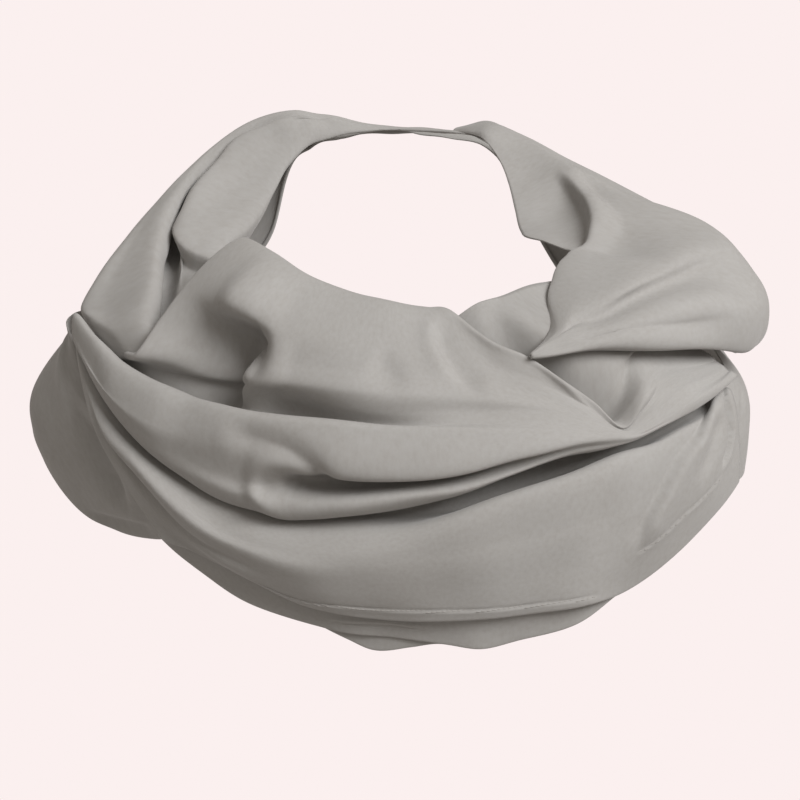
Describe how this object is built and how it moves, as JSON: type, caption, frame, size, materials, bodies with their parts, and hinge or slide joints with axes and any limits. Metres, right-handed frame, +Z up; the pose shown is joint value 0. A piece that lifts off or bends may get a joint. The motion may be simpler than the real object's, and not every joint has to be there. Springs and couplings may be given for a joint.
{
  "type": "nursing scarf",
  "caption": "Wide loop scarf of soft taupe cloth, held in two draped turns round an open neck hole, with a folded cowl in front.",
  "frame": {"origin": "centre of the neck hole, at the level where the back of the hole is held", "axes": "+Z up along the neck hole, -Y to the front of the scarf, +X to the right as seen from the front"},
  "size_m": [0.3414, 0.2284, 0.2016],
  "materials": {
    "cloth": "soft matt woven cotton"
  },
  "bodies": {
    "root": {"front_cowl": "cloth", "left_strap": "cloth", "nape_band": "cloth", "right_swag": "cloth", "front_panel": "cloth", "hem_layer": "cloth", "under_hem": "cloth", "left_lobe": "cloth", "back_drape": "cloth", "right_flap": "cloth"}
  },
  "joints": []
}
